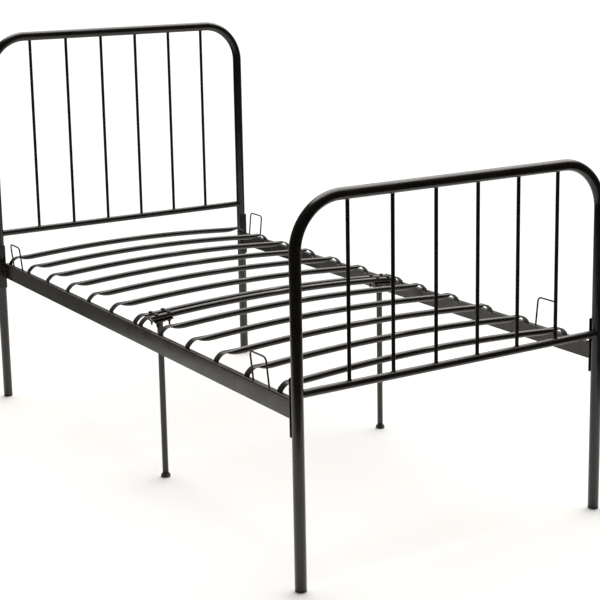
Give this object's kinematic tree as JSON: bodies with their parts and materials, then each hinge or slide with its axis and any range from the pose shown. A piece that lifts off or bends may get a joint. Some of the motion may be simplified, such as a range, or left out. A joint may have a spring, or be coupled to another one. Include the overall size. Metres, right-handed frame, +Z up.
{
  "type": "metal bed frame",
  "caption": "Single bed frame of bent black steel tube with an arched-corner headboard and footboard, upright spindles, angle side rails, arched tube slats and levelling mid legs.",
  "frame": {"origin": "on the floor under the middle of the frame", "axes": "+X across the bed to the right of someone who stands at the foot and faces the headboard, +Y along the bed towards the headboard, +Z up"},
  "size_m": [0.99, 1.97, 1.265],
  "materials": {
    "black_powder_coat": "semi-gloss dark bronze-black powder coat with fine orange peel, over welded steel tube and sheet",
    "black_plastic": "moulded black plastic, satin",
    "black_zinc_steel": "steel fasteners with black zinc plate, slightly dulled"
  },
  "bodies": {
    "root": {"headboard_hoop": "black_powder_coat", "headboard_lower_bar": "black_powder_coat", "head_spindle_1": "black_powder_coat", "head_spindle_2": "black_powder_coat", "head_spindle_3": "black_powder_coat", "head_spindle_4": "black_powder_coat", "head_spindle_5": "black_powder_coat", "head_spindle_6": "black_powder_coat", "footboard_hoop": "black_powder_coat", "footboard_lower_bar": "black_powder_coat", "foot_spindle_1": "black_powder_coat", "foot_spindle_2": "black_powder_coat", "foot_spindle_3": "black_powder_coat", "foot_spindle_4": "black_powder_coat", "foot_spindle_5": "black_powder_coat", "foot_spindle_6": "black_powder_coat", "head_left_plug": "black_plastic", "head_right_plug": "black_plastic", "foot_left_plug": "black_plastic", "foot_right_plug": "black_plastic", "left_rail": "black_powder_coat", "right_rail": "black_powder_coat", "head_left_hook_plate": "black_powder_coat", "head_right_hook_plate": "black_powder_coat", "foot_left_hook_plate": "black_powder_coat", "foot_right_hook_plate": "black_powder_coat", "slat_01": "black_powder_coat", "slat_02": "black_powder_coat", "slat_03": "black_powder_coat", "slat_04": "black_powder_coat", "slat_05": "black_powder_coat", "slat_06": "black_powder_coat", "slat_07": "black_powder_coat", "slat_08": "black_powder_coat", "slat_09": "black_powder_coat", "slat_10": "black_powder_coat", "slat_11": "black_powder_coat", "slat_12": "black_powder_coat", "middle_cross_tube": "black_powder_coat", "left_mid_leg": "black_powder_coat", "right_mid_leg": "black_powder_coat", "left_leg_plate": "black_powder_coat", "right_leg_plate": "black_powder_coat", "leg_bolts": "black_zinc_steel", "leg_washers": "black_zinc_steel", "leg_nuts": "black_zinc_steel", "left_leg_insert": "black_plastic", "right_leg_insert": "black_plastic", "head_left_retainer": "black_powder_coat", "head_right_retainer": "black_powder_coat", "foot_left_retainer": "black_powder_coat", "foot_right_retainer": "black_powder_coat"},
    "left_glide_body": {"left_glide": "black_plastic"},
    "right_glide_body": {"right_glide": "black_plastic"}
  },
  "joints": [
    {"name": "left_glide_slide", "type": "slide", "parent": "root", "child": "left_glide_body", "axis": [0, 0, -1], "range_m": [0, 0.012]},
    {"name": "right_glide_slide", "type": "slide", "parent": "root", "child": "right_glide_body", "axis": [0, 0, -1], "range_m": [0, 0.012]}
  ]
}
